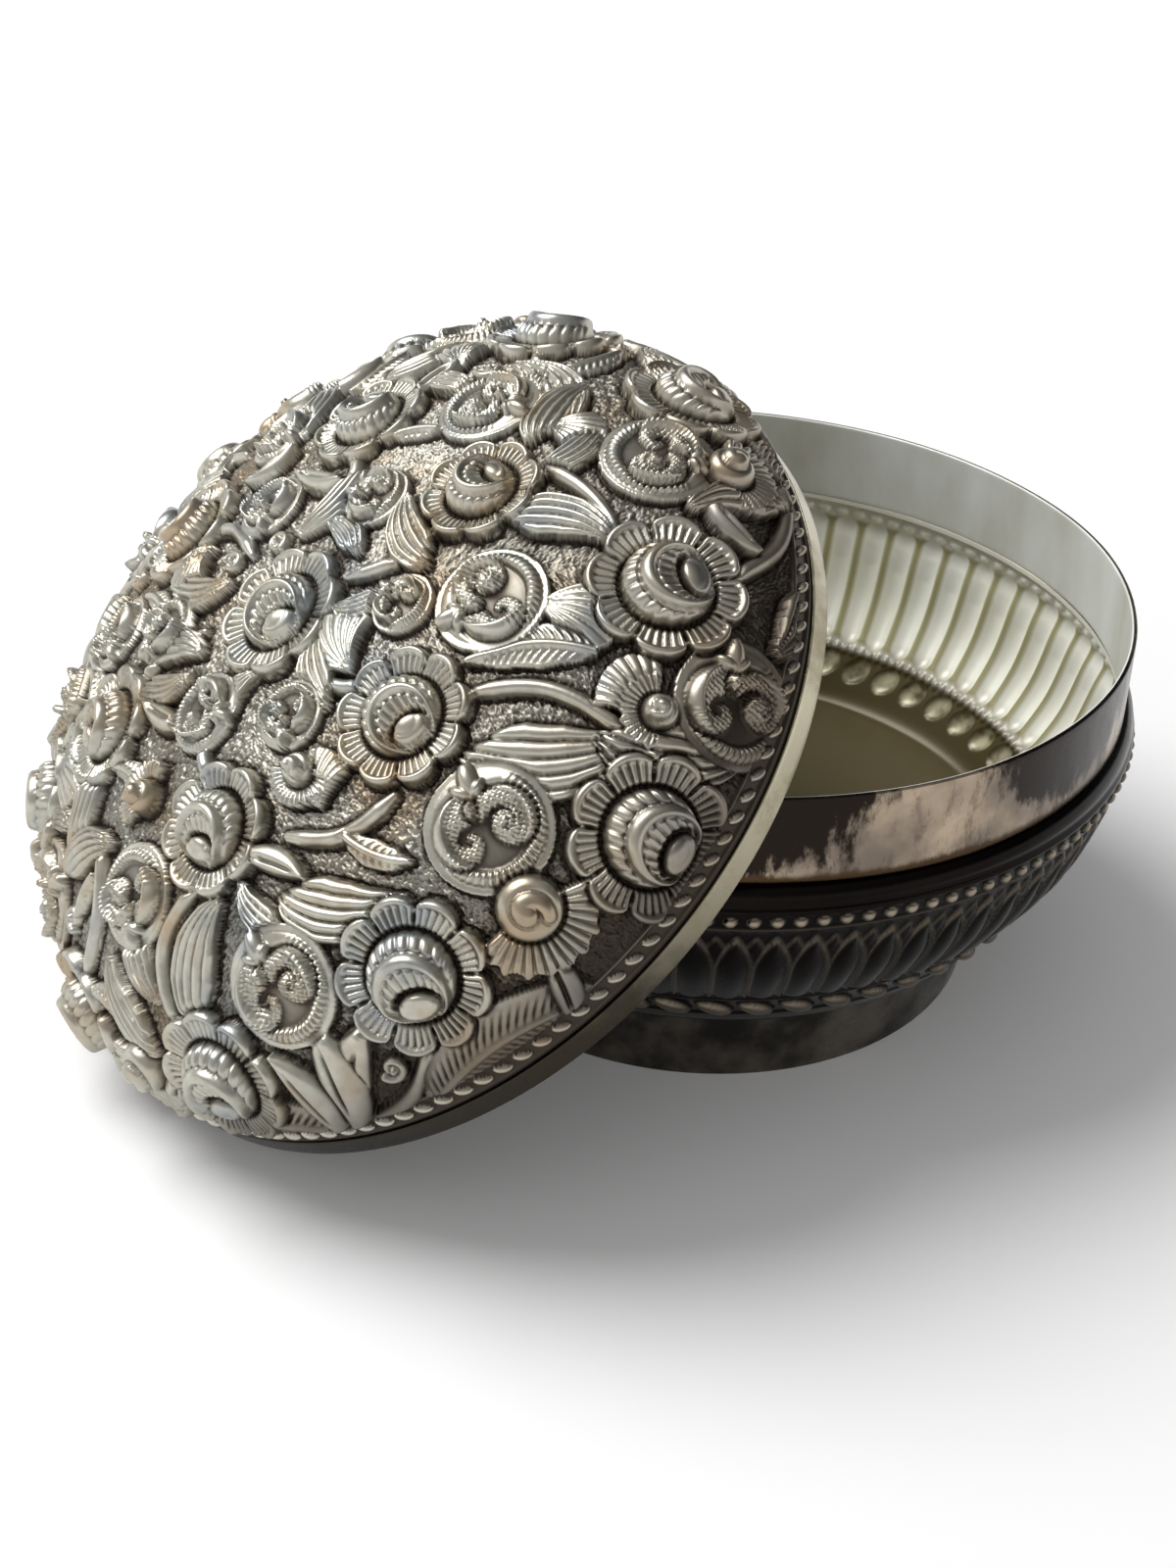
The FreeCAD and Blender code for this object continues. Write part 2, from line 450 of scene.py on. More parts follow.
row_count = bowl_surface.shape[0] - 1
inner_faces = np.zeros((row_count, bowl_columns), int)
inner_faces[outside_rows.stop:] = 1
bowl.data.polygons.foreach_set("material_index", np.concatenate([inner_faces.ravel(), [0, 1]]))
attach(bowl, "bowl")
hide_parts("bowl_body")

# Neck
# A plain strip, bent to a ring, soldered end to end and then upright on the shoulder. The lid slides
# over it, so it is worn bright and pinkish in bands, with scratches and leftover tarnish between them.

neck_columns = 480
neck_edge = 0.3
neck_spacing = 0.9
seam_angle = math.radians(62)
seam_width = 1.4
seam_rise = 0.12

neck_outline = strip_section(
    neck_radius, neck_radius, neck_sheet, neck_base, neck_lip, neck_edge, neck_spacing
)
neck_surface = spun(neck_outline, neck_columns)
neck_turn = round_turns(neck_columns)
# Handwork leaves the ring a little out of round, with a soldered seam that stands up on the inside.
wander = 0.10 * np.cos(5 * neck_turn + 0.6) + 0.06 * np.cos(9 * neck_turn + 2.0)
seam = bell((neck_turn - seam_angle) * neck_radius, seam_width) * seam_rise
from_axis = (neck_radius + wander) / neck_radius
on_inside = (neck_outline[:, 0] < neck_radius - neck_sheet / 2)[:, None]
neck_surface[..., :2] *= (from_axis - np.where(on_inside, seam / neck_radius, 0))[..., None]
neck = turned_piece("neck_silver", neck_surface, looped=True)

# Worn silver: satin and warm grey where the lid rubs, blackened in ragged patches that hang from the lip,
# with a brown line of old polish along the solder at its base. The black patches are partly tarnish and
# partly painted reflection of dark surroundings, set where the neck should look dark. They are given by
# degrees round the bowl and half their width in millimetres, and are wider than they are tall. Fray is how
# far noise moves their edges.
patches = ((-121, 25), (-66, 21), (-8, 12), (62, 17), (148, 15))
patch_flatness = 1.8
fray = 30
neck_metal, tree, place = new_metal("worn_silver_strip")
height = add(tree, "SeparateXYZ", {}, {0: place})["Z"]
lip_range = {0: height, 1: neck_base * mm, 2: neck_lip * mm, 3: 0, 4: 1}
climb = add(tree, "MapRange", {"clamp": False}, lip_range)[0]
streaks = add(tree, "Mapping", {}, {"Vector": place, "Scale": (1, 1, 0.45)})[0]
ragged = add(tree, "TexNoise", {}, {"Vector": streaks, "Scale": per(5), "Detail": 6, "Roughness": 0.7})["Fac"]
tall_place = add(tree, "Mapping", {}, {"Vector": place, "Scale": (1, 1, patch_flatness)})[0]
beyond = 1.0
for azimuth, half_width in patches:
    turn = math.radians(azimuth)
    spot_x, spot_y = neck_radius * math.cos(turn), neck_radius * math.sin(turn)
    spot = Vector((spot_x, spot_y, neck_lip * patch_flatness)) * mm
    off = add(tree, "VectorMath", {"operation": "DISTANCE"}, {0: tall_place, 1: spot})["Value"]
    off = add(tree, "Math", {"operation": "SUBTRACT"}, {0: off, 1: half_width * mm})[0]
    beyond = add(tree, "Math", {"operation": "MINIMUM"}, {0: beyond, 1: off})[0]
frayed = add(tree, "Math", {"operation": "MULTIPLY_ADD"}, {0: ragged, 1: -fray * mm, 2: beyond})[0]
# The black patches are tarnish and painted dark reflection.
black = add(tree, "MapRange", eased, {0: frayed, 1: -12 * mm, 2: -18 * mm, 3: 0, 4: 1})[0]
tint = add(tree, "TexNoise", {}, {"Vector": place, "Scale": per(15), "Detail": 4})["Fac"]
toned = add(tree, "MapRange", eased, {0: tint, 1: 0.36, 2: 0.64, 3: 0, 4: 1})[0]
worn = add(tree, "Mix", of_colours, {0: toned, 6: linear("#b6a48e"), 7: linear("#776c62")})[2]
streaked = add(tree, "MapRange", eased, {0: ragged, 1: 0.46, 2: 0.66, 3: 0, 4: 0.75})[0]
worn = add(tree, "Mix", of_colours, {0: streaked, 6: worn, 7: linear("#564a40")})[2]
patched = add(tree, "Mix", of_colours, {0: black, 6: worn, 7: linear("#28221e")})[2]
polish = add(tree, "Math", {"operation": "MULTIPLY_ADD"}, {0: ragged, 1: -0.16, 2: climb})[0]
line = add(tree, "MapRange", eased, {0: polish, 1: 0.06, 2: -0.02, 3: 0, 4: 1})[0]
colour = add(tree, "Mix", of_colours, {0: line, 6: patched, 7: linear("#4a3a29")})[2]
dull = add(tree, "MapRange", {}, {0: ragged, 1: 0.3, 2: 0.7, 3: 0.2, 4: 0.34})[0]
scratch_stretch = {"Vector": place, "Rotation": (0.5, 0.3, 0.2), "Scale": (1, 1, 14)}
scratch_place = add(tree, "Mapping", {}, scratch_stretch)[0]
scratch_pattern = {"Vector": scratch_place, "Scale": per(6), "Detail": 6, "Roughness": 0.75}
scratches = add(tree, "TexNoise", {}, scratch_pattern)["Fac"]
bump = add(tree, "Bump", {}, {"Strength": 0.25, "Distance": 0.08 * mm, "Height": scratches})[0]
put_on(neck, neck_metal, colour, dull, bump)

# Pickled silver: the neck's inside, which the lid never touches, keeps its frosted skin, pale and faintly
# green.
neck_inner_metal, tree, place = new_metal("whitened_silver_strip", metallic=0.2)
streaks = add(tree, "Mapping", {}, {"Vector": place, "Scale": (1, 1, 0.5)})[0]
clouds = add(tree, "TexNoise", {}, {"Vector": streaks, "Scale": per(22), "Detail": 5})["Fac"]
mottle = add(tree, "MapRange", {}, {0: clouds, 1: 0.35, 2: 0.7, 3: 0, 4: 1})[0]
colour = add(tree, "Mix", of_colours, {0: mottle, 6: linear("#f6faf5"), 7: linear("#cbc8bb")})[2]
dull = add(tree, "MapRange", {}, {0: clouds, 1: 0.3, 2: 0.7, 3: 0.4, 4: 0.55})[0]
put_on(neck, neck_inner_metal, colour, dull)
inner_faces = np.repeat(on_inside[:, 0], neck_columns).astype(int)
neck.data.polygons.foreach_set("material_index", inner_faces)
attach(neck, "bowl")
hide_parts("neck_band")

# Lid strip
# A plain strip of thicker silver around the lid's mouth, with crisp edges. It slides over the neck, and its
# colour is bright on its upper side and dark along its low side, which is painted shade.

strip_edge = 0.25
strip_spacing = 0.8
strip_columns = 480

lid_axis = np.array(frame["joints"][0]["axis"])
lid_side = np.array([0.0, 1.0, 0.0])
lid_front = np.cross(lid_side, lid_axis)
strip_points = node_points("lid_band")
strip_height = np.ptp(strip_points @ lid_axis)
lid_mouth = (strip_points.min(0) + strip_points.max(0)) / 2 - lid_axis * strip_height / 2


def in_lid(points):
    """Points of the lid's own frame, with its mouth at zero, set where the lid leans on the bowl."""
    return lid_mouth + points[..., :1] * lid_front + points[..., 1:2] * lid_side + points[..., 2:] * lid_axis


from_lid_axis = strip_points - lid_mouth
strip_reach = np.linalg.norm(from_lid_axis - np.outer(from_lid_axis @ lid_axis, lid_axis), axis=1)
lid_radius = strip_reach.max()
lid_mouth_radius = strip_reach.min()
strip_sheet = lid_radius - lid_mouth_radius
strip_outline = strip_section(lid_radius, lid_radius, strip_sheet, 0, strip_height, strip_edge, strip_spacing)
strip = turned_piece("lid_strip_silver", in_lid(spun(strip_outline, strip_columns)), looped=True)

# Polished silver: bright and slightly warm on its upper side, and darkened nearly black along its low side,
# which is painted shade, with cloudy thin tarnish between. The two heights count in how far clouds reach.
clouding, painted_shade_top, unshaded_from = 30, 54, 84
strip_metal, tree, place = new_metal("polished_silver_strip")
clouds = add(tree, "TexNoise", {}, {"Vector": place, "Scale": per(13), "Detail": 6, "Roughness": 0.65})["Fac"]
mottle = add(tree, "MapRange", eased, {0: clouds, 1: 0.4, 2: 0.68, 3: 0, 4: 1})[0]
bright = add(tree, "Mix", of_colours, {0: mottle, 6: linear("#b5ae98"), 7: linear("#898169")})[2]
height = add(tree, "SeparateXYZ", {}, {0: place})["Z"]
cloudy_height = add(tree, "Math", {"operation": "MULTIPLY_ADD"}, {0: clouds, 1: clouding * mm, 2: height})[0]
# Painted shade: the strip is darkened along its low side.
low = add(tree, "MapRange", eased, {0: cloudy_height, 1: painted_shade_top * mm, 2: unshaded_from * mm, 3: 1, 4: 0})[0]
colour = add(tree, "Mix", of_colours, {0: low, 6: bright, 7: linear("#38332a")})[2]
dull = add(tree, "MapRange", {}, {0: clouds, 1: 0.3, 2: 0.7, 3: 0.2, 4: 0.34})[0]
put_on(strip, strip_metal, colour, dull)
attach(strip, "lid")
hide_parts("lid_band")

# Lid dome
# A domed sheet of silver, worked from inside into a dense garden: rosebuds with notched petals, scroll
# medallions, shells and fluted leaves on bent stems, then chased from outside with punches. The ground
# between is matted, grey and rough. A row of beads runs round just above the strip.

dome_cells = 760
dome_sheet = 0.9
# The ground lies this far inside the plain dome at the rim and at the crown. What is raised stands past it.
ground_set_in = 0.5
crown_set_in = 2.0
# The dome is a rounded square in section: a power of two would be an ellipse.
dome_side_power = 2.3
dome_top_power = 2.2

dome_points = node_points("lid_dome")
dome_rise = ((dome_points - lid_mouth) @ lid_axis).max() - strip_height - crown_set_in
climb = np.linspace(math.pi / 2, 0, 2000)
section_radius = (lid_radius - ground_set_in) * np.clip(np.cos(climb), 0, 1) ** (2 / dome_side_power)
section_height = strip_height + dome_rise * np.sin(climb) ** (2 / dome_top_power)
section_run = np.concatenate([[0], np.cumsum(np.hypot(np.diff(section_radius), np.diff(section_height)))])
dome_run = section_run[-1]

# A square grid bent into a disc gives even cells from the crown to the rim, with no pole.
square = np.linspace(-1, 1, dome_cells + 1)
first, second = np.meshgrid(square, square, indexing="ij")
wide = np.abs(first) > np.abs(second)
bent = np.where(wide, first, second)
share = np.divide(np.where(wide, second, first), bent, out=np.zeros_like(bent), where=bent != 0)
turn = np.where(wide, math.pi / 4 * share, math.pi / 2 - math.pi / 4 * share)
flat_x = (bent * np.cos(turn) * dome_run).ravel()
flat_y = (bent * np.sin(turn) * dome_run).ravel()
from_crown = np.hypot(flat_x, flat_y)
round_angle = np.arctan2(flat_y, flat_x)
relief = np.zeros(len(flat_x))
sunken = np.zeros_like(relief)
covered = np.zeros(len(flat_x), bool)

# The chased line round each form, its floor, and a chisel cut's width as a share of the cuts' spacing.
chased_depth = 0.35
chased_width = 0.5
deepest_line = -0.3
cut_width = 0.17


def squeeze(distance):
    """How much shorter a step round the dome is than on the flattened disc, at a distance from the crown."""
    return np.interp(distance, section_run, section_radius) / distance if distance > 1 else 1.0


def near(angle, distance, reach, heading):
    """Cells within reach of a place on the dome, and where they lie from it: x round the dome, y to the rim.
    A heading turns the two by so many degrees."""
    angle = math.radians(angle)
    away_x = flat_x - distance * math.cos(angle)
    away_y = flat_y - distance * math.sin(angle)
    cells = np.flatnonzero((np.abs(away_x) < reach * 1.3) & (np.abs(away_y) < reach * 1.3))
    out = away_x[cells] * math.cos(angle) + away_y[cells] * math.sin(angle)
    side = (away_y[cells] * math.cos(angle) - away_x[cells] * math.sin(angle)) * squeeze(distance)
    heading = math.radians(heading)
    x = side * math.cos(heading) + out * math.sin(heading)
    y = out * math.cos(heading) - side * math.sin(heading)
    return cells, x, y


def lay(cells, outside, raised, behind=False):
    """Works a form into the sheet: its own height within its outline, with a chased line close round it.
    A form behind leaves alone what is already worked."""
    free = ~(covered[cells] & behind)
    within = (outside < 0) & free
    beside = (outside >= 0) & free
    relief[cells[within]] = raised[within]
    covered[cells[within]] = True
    line = chased_depth * bell(outside[beside], chased_width)
    relief[cells[beside]] = np.maximum(relief[cells[beside]] - line, deepest_line)


def hatch(position, spacing, depth):
    """Narrow chisel cuts, so far apart along a position in the same unit."""
    off = np.abs((position / spacing) % 1 - 0.5)
    return -depth * bell(off - 0.5, cut_width)


def dome_of(distance, radius, tall):
    """The height of a round boss, at a distance from its middle."""
    return tall * np.sqrt(np.clip(1 - (distance / radius) ** 2, 0, 1))


def tube(x, y, line, widths, tall):
    """A half-round stem along a line: its height at each cell, and how far outside it the cell is."""
    raised = np.zeros(len(x))
    outside = np.full(len(x), 1e3)
    for (along_x, along_y), width in zip(line, widths):
        off = np.hypot(x - along_x, y - along_y)
        raised = np.maximum(raised, dome_of(off, width, tall * (width / widths.max()) ** 0.7))
        outside = np.minimum(outside, off - width)
    return raised, outside


def rosette(angle, distance, width, petals, heading):
    """A rosebud within a round of notched petals: the bud opens towards the rim."""
    radius = width / 2
    bud = radius * 0.57
    petal_foot, petal_slope, petal_roll = 1.4, 0.9, 2.6
    bud_rise, leaf_roll, bud_hollow, heart_rise, heart_drop = 3.5, 0.75, 1.3, 1.3, 0.6
    cells, x, y = near(angle, distance, radius + 2, heading)
    off = np.hypot(x, y)
    across = (np.arctan2(x, y) / (2 * math.pi) * petals) % 1 - 0.5
    edge = radius * (0.79 + 0.21 * np.sqrt(1 - (2 * across) ** 2))
    out = np.clip((off - bud) / (edge - bud), 0, 1)
    # Each petal slopes up from the bud, cut with a chisel, to a smooth rolled end.
    slope = np.where(out < 0.9, petal_foot + petal_slope * out, 0)
    slope += hatch(across + 0.5, 1 / 6, depth=0.6) * np.clip((0.74 - out) / 0.08, 0, 1)
    petal = np.maximum(slope, dome_of(out - 0.80, 0.20, petal_roll) * (1 - 0.25 * (2 * across) ** 2))
    apart = (0.5 - np.abs(across)) * 2 * math.pi * off / petals
    petal -= 0.9 * bell(apart, 0.35) * np.clip((out - 0.1) * 3, 0, 1)
    # The bud is a ball of wrapped leaves: a hatched one, a smooth rolled one, a hatched one and a heart.
    ball = petal_foot + dome_of(off, bud, bud_rise)
    first_leaf = np.hypot(x, y - 0.20 * bud) - 0.80 * bud
    second_leaf = np.hypot(x, y - 0.36 * bud) - 0.62 * bud
    heart = np.hypot(x * 0.68, y - 0.56 * bud) - 0.34 * bud
    fan_turn = np.arctan2(x, 1.3 * bud - y) / (2 * math.pi)
    ball += np.where(first_leaf > 0, hatch(fan_turn, 1 / 50, depth=0.5) * np.clip(-y / bud + 0.7, 0, 1), 0)
    rolled = np.clip(first_leaf / np.minimum(first_leaf - second_leaf, -1e-6), 0, 1)
    ball += np.where((first_leaf < 0) & (second_leaf > 0), leaf_roll * np.sin(math.pi * rolled), 0)
    ball += np.where((second_leaf < 0) & (heart > 0), hatch(fan_turn, 1 / 46, depth=0.45), 0)
    ball -= bud_hollow * np.clip(-second_leaf / (0.3 * bud), 0, 1)
    ball -= 0.45 * bell(first_leaf, 0.22) + 0.4 * bell(second_leaf, 0.22)
    ball += np.where(heart < 0, dome_of(heart + 0.34 * bud, 0.34 * bud, heart_rise) - heart_drop, 0)
    ball -= 1.5 * bell(heart, 0.36) * np.clip(1.2 - y / bud, 0, 1)
    raised = np.where(off < bud, np.maximum(ball, 0.5), petal)
    raised -= 0.9 * bell(off - bud, 0.42)
    lay(cells, off - edge, raised)


def spiral(centre_x, centre_y, size, start, turns, hand):
    """A scroll that winds in to its centre, as points of a line."""
    sweep = np.linspace(0, 1, 46)
    angle = math.radians(start) + hand * sweep * turns * 2 * math.pi
    radius = size * (1 - sweep * 0.86)
    return np.stack([centre_x + radius * np.cos(angle), centre_y + radius * np.sin(angle)], axis=-1)


def medallion(angle, distance, width, heading):
    """A round cushion with a sunk floor, a roped edge along one side, a fat curl, a scroll round a ball, and
    a small leaf."""
    radius = width / 2
    cushion_foot, cushion_rise, floor_drop = 0.3, 1.5, 0.9
    scroll_rise, ball_rise, leaf_foot, leaf_rise = 2.1, 2.7, 1.2, 1.9
    cells, x, y = near(angle, distance, radius + 2, heading)
    y = -y
    off = np.hypot(x, y)
    raised = cushion_foot + cushion_rise * np.clip(1 - (off / radius) ** 4, 0, 1) ** 0.5
    raised -= 0.35 * bell(off - radius * 0.90, 0.22)
    floor_share = np.clip((0.64 - off / radius) / 0.08, 0, 1)
    raised -= (floor_drop - hatch(x + y, 0.9, depth=0.35) - hatch(x - y, 0.9, depth=0.35)) * floor_share
    sunken[cells] = np.maximum(sunken[cells], floor_share)
    roped = np.clip((0.35 - (y - 0.45 * x) / radius) * 2.5, 0, 1)
    rope = dome_of(off - radius * 0.76, radius * 0.12, 0.9) * roped
    border = np.arctan2(x, -y) / (2 * math.pi)
    raised += rope + hatch(border + off / radius * 0.04, 1 / 46, depth=0.6) * np.clip(rope * 2, 0, 1)
    for centre_x, centre_y, size, start, turns, hand, fat, ball in (
        (-0.34, -0.06, 0.42, 80, 0.85, 1, 0.25, 0.0),
        (0.28, -0.08, 0.46, 130, 1.05, -1, 0.18, 0.27),
    ):
        line = spiral(centre_x * radius, centre_y * radius, size * radius, start, turns, hand)
        scroll, beside = tube(x, y, line, np.linspace(fat, 0.08, len(line)) * radius, scroll_rise)
        middle = np.hypot(x - centre_x * radius, y - centre_y * radius)
        scroll = np.maximum(scroll, dome_of(middle, max(ball, 0.01) * radius, ball_rise))
        raised -= 0.8 * bell(np.maximum(beside, 0), 0.5) * (beside > 0) * (off < 0.86 * radius)
        raised += scroll
    for lean, long in ((-0.8, 0.22), (0.1, 0.32), (0.9, 0.18)):
        lobe_x = x * math.cos(lean) - (y - 0.48 * radius) * math.sin(lean)
        lobe_y = x * math.sin(lean) + (y - 0.48 * radius) * math.cos(lean)
        lobe = np.hypot(lobe_x / 0.5, lobe_y - long * radius * 0.8)
        leaf = leaf_foot + dome_of(lobe, long * radius, leaf_rise)
        raised = np.maximum(raised, np.where(off < radius, leaf, 0))
    lay(cells, off - radius, raised)


def shell(angle, distance, width, heading):
    """A ball with a scroll over its top, above a fluted skirt with a notched edge."""
    radius = width / 2
    ball_radius = 0.62 * radius
    skirt_foot, skirt_slope, ball_foot, ball_rise, scroll_rise = 1.0, 1.2, 1.4, 3.0, 0.9
    cells, x, y = near(angle, distance, radius * 1.2 + 2, heading)
    off = np.hypot(x, y + 0.35 * radius)
    turn_share = np.arctan2(x, y + 0.35 * radius) / math.radians(85)
    notch = 1.24 + 0.05 * np.cos(turn_share * 9 * math.pi)
    edge = np.where(np.abs(turn_share) < 1, radius * notch, ball_radius)
    skirt = skirt_foot + skirt_slope * np.clip(off / radius, 0, 1) + hatch(turn_share, 1 / 8, depth=0.55)
    ball = ball_foot + dome_of(off, ball_radius, ball_rise)
    line = spiral(-0.04 * radius, -0.3 * radius, 0.36 * radius, start=40, turns=0.62, hand=-1)
    scroll, beside = tube(x, y, line, np.linspace(0.12, 0.2, len(line)) * radius, scroll_rise)
    ball += scroll - 0.4 * bell(np.maximum(beside, 0), 0.4) * (beside > 0)
    raised = np.where(off < ball_radius, ball, skirt)
    raised -= 0.6 * bell(off - ball_radius, 0.35)
    lay(cells, off - edge, raised)


def along_leaf(base, tip, bend, hand):
    """Cells near a leaf that bends so many degrees from its base to its tip: their share of its length,
    their distance aside of its midrib, and its length."""
    angle, distance = base
    ahead = tip[1] * math.cos(math.radians(tip[0] - angle)) - distance
    aside = tip[1] * math.sin(math.radians(tip[0] - angle)) * squeeze(distance)
    half_bend = math.radians(bend) / 2
    long = math.hypot(ahead, aside) * half_bend / math.sin(half_bend)
    heading = math.degrees(math.atan2(-aside, ahead) + hand * half_bend)
    cells, x, y = near(angle, distance, long * 1.15, heading)
    rib_steps = 40
    share = np.linspace(0, 1, rib_steps + 1)
    turn_x, turn_y = np.sin(2 * half_bend * share), np.cos(2 * half_bend * share)
    rib_x, rib_y = np.cumsum(turn_x) * long / rib_steps, np.cumsum(turn_y) * long / rib_steps
    off_x, off_y = hand * x[:, None] - rib_x, y[:, None] - rib_y
    knot = np.argmin(off_x ** 2 + off_y ** 2, axis=1)
    off_x, off_y = off_x[np.arange(len(x)), knot], off_y[np.arange(len(x)), knot]
    along = share[knot] + (off_x * turn_x[knot] + off_y * turn_y[knot]) / long
    return cells, along, off_x * turn_y[knot] - off_y * turn_x[knot], long


def outside_leaf(along, aside, half, long, end=1.0):
    """How far outside a leaf each cell is: beside its half width, or beyond its base or its end."""
    return np.maximum(np.abs(aside) - half, np.maximum(along - end, -along) * long)


def wing(base, tip, hand, behind=False):
    """A leaf of smooth flutes side by side: they leave its base together and end in round tips."""
    flutes, wide, bend = 5, 0.44, 60
    cells, along, aside, long = along_leaf(base, tip, bend, hand)
    half = wide / 2 * long * np.interp(along, (0, 0.15, 0.4, 0.65, 0.85, 1), (0.18, 0.5, 0.9, 1.0, 0.8, 0.45))
    order = np.clip((aside / half + 1) / 2, 0, 0.999) ** 0.85 * flutes
    flute = dome_of(2 * (order % 1) - 1, 1, 1)
    end = 0.94 - 0.5 * (order / flutes - 0.35) ** 2 + 0.06 * flute
    flute *= np.sqrt(np.clip((end - along) / 0.08, 0, 1))
    swelling = np.sqrt(np.clip(1 - 0.8 * (aside / half) ** 2, 0, 1))
    swelling *= np.interp(along, (0, 0.3, 0.8, 1), (0.5, 1, 1, 0.5))
    lay(cells, outside_leaf(along, aside, half, long, end), 0.2 + swelling + 1.25 * flute, behind)


def feather(base, tip, hand, behind=False):
    """A leaf with a raised midrib and short barbs cut on either side of it."""
    wide, bend = 0.36, 40
    cells, along, aside, long = along_leaf(base, tip, bend, hand)
    half = wide / 2 * long * np.interp(along, (0, 0.15, 0.4, 0.75, 1), (0.2, 0.65, 1, 0.75, 0.1))
    across = np.abs(aside) / half
    raised = 0.5 + dome_of(across, 1, 1.1)
    barbs = hatch(along * long - np.abs(aside) * 0.8, 1.25, depth=0.6)
    raised += barbs * np.clip((across - 0.12) * 6, 0, 1)
    raised = np.maximum(raised, 1.1 + dome_of(aside, 0.7, 0.9))
    lay(cells, outside_leaf(along, aside, half, long), raised, behind)


def fan(base, tip, hand, behind=False):
    """A small leaf like a scallop shell: fine bent flutes that open from a point to a round edge."""
    flutes, half_opening, bend = 8, math.radians(40), 30
    cells, along, aside, long = along_leaf(base, tip, bend, hand)
    off = np.hypot(along * long, aside)
    turn_share = np.arctan2(aside, along * long) / half_opening
    edge = long * (1 - 0.2 * turn_share ** 2)
    order = (turn_share + 1) / 2 * flutes
    flute = dome_of(2 * (order % 1) - 1, 1, 1)
    raised = 0.5 + 1.5 * np.sin(math.pi * np.clip(off / edge, 0, 1) ** 0.8 * 0.85) + 0.5 * flute
    lay(cells, np.maximum(off - edge, (np.abs(turn_share) - 1) * half_opening * off), raised, behind)


def pod(base, tip, hand, behind=False):
    """A smooth swollen leaf, pointed at both ends, with a slit cut along it."""
    wide, bend = 0.34, 30
    cells, along, aside, long = along_leaf(base, tip, bend, hand)
    half = wide / 2 * long * np.maximum(np.sin(math.pi * np.clip(along, 0, 1) ** 0.85), 0.02) ** 0.7
    raised = 0.4 + dome_of(aside, half, 2.2)
    slit_run = np.clip(np.minimum(along - 0.2, 0.85 - along) * 8, 0, 1)
    raised -= bell(aside - 0.2 * half, 0.35) * slit_run
    lay(cells, outside_leaf(along, aside, half, long), raised, behind)


def curl(angle, distance, size, heading, hand, behind):
    """A small tendril that winds round a ball."""
    cells, x, y = near(angle, distance, size * 1.6, heading)
    ball_radius, tendril_rise, ball_rise = 0.26 * size, 1.7, 2.1
    line = spiral(0, 0, size * 0.62, start=-120, turns=1.3, hand=hand)
    raised, outside = tube(x, y, line, np.linspace(0.26, 0.15, len(line)) * size, tendril_rise)
    ball = np.hypot(x - line[-1, 0], y - line[-1, 1])
    raised = np.maximum(raised, dome_of(ball, ball_radius, ball_rise))
    lay(cells, np.minimum(outside, ball - ball_radius), raised, behind)


stem_width = 2.7
stem_rise = 1.9


def stem(places):
    """A smooth round stem through places given as (angle, distance from the crown)."""
    knots = [(far * math.cos(math.radians(turn)), far * math.sin(math.radians(turn))) for turn, far in places]
    line = smooth_line(knots, 0.3)
    middle = line.mean(0)
    reach = np.linalg.norm(line - middle, axis=1).max() + stem_width
    cells = np.flatnonzero((np.abs(flat_x - middle[0]) < reach) & (np.abs(flat_y - middle[1]) < reach))
    thickness = np.interp(np.linspace(0, 1, len(line)), (0, 0.15, 0.85, 1), (0.6, 1, 1, 0.7))
    raised, outside = tube(flat_x[cells], flat_y[cells], line, thickness * stem_width / 2, stem_rise)
    lay(cells, outside, raised)


# Stems, as runs of (degrees round the crown, millimetres from it).
for places in (
    ((338, 46), (330, 51), (321, 55)), ((336, 83), (324, 79), (315, 70)),
    ((285, 42), (292, 52), (291, 66)), ((247, 74), (240, 81), (222, 84)),
    ((262, 44), (250, 44), (238, 40)), ((214, 44), (206, 54), (208, 64)),
    ((178, 44), (186, 56), (184, 66)), ((160, 78), (168, 80), (178, 74)),
    ((140, 46), (148, 55), (146, 66)), ((100, 46), (108, 56), (115, 66)),
    ((128, 80), (120, 82), (106, 80)), ((76, 50), (82, 58), (84, 68)), ((40, 46), (44, 56), (52, 66)),
    ((60, 82), (68, 80), (80, 74)), ((4, 52), (12, 58), (20, 66)), ((352, 80), (2, 82), (14, 74)),
    ((20, 16), (26, 26), (40, 30)), ((80, 14), (86, 26), (96, 30)), ((140, 14), (146, 26), (156, 30)),
    ((200, 14), (206, 26), (216, 30)), ((262, 14), (268, 24), (280, 30)),
    ((320, 14), (326, 26), (334, 30)),
):
    stem(places)

# Leaves of each kind, from base to tip as (degrees round the crown, millimetres from it), and the hand
# towards which they bend.
for base, tip, hand in (
    ((319, 55), (326, 39), 1), ((292, 67), (277, 47), -1), ((255, 57), (235, 47), -1),
    ((221, 46), (214, 64), 1), ((326, 65), (331, 82), -1), ((309, 80), (321, 84), 1),
    ((281, 13), (262, 25), 1), ((12, 53), (350, 51), -1), ((351, 26), (318, 28), 1),
    ((192, 58), (203, 70), 1), ((170, 54), (158, 40), 1), ((124, 54), (134, 40), -1),
    ((66, 36), (58, 54), 1), ((30, 60), (40, 48), -1), ((100, 72), (84, 84), 1),
    ((160, 14), (140, 27), 1), ((100, 12), (112, 26), -1), ((40, 12), (20, 25), 1),
    ((226, 12), (204, 25), 1), ((206, 62), (198, 50), -1), ((184, 44), (172, 56), 1),
    ((82, 50), (74, 64), -1), ((356, 58), (346, 46), 1), ((298, 82), (290, 62), -1),
    ((140, 80), (132, 70), 1), ((60, 58), (70, 48), -1), ((14, 40), (4, 54), 1),
):
    wing(base, tip, hand)
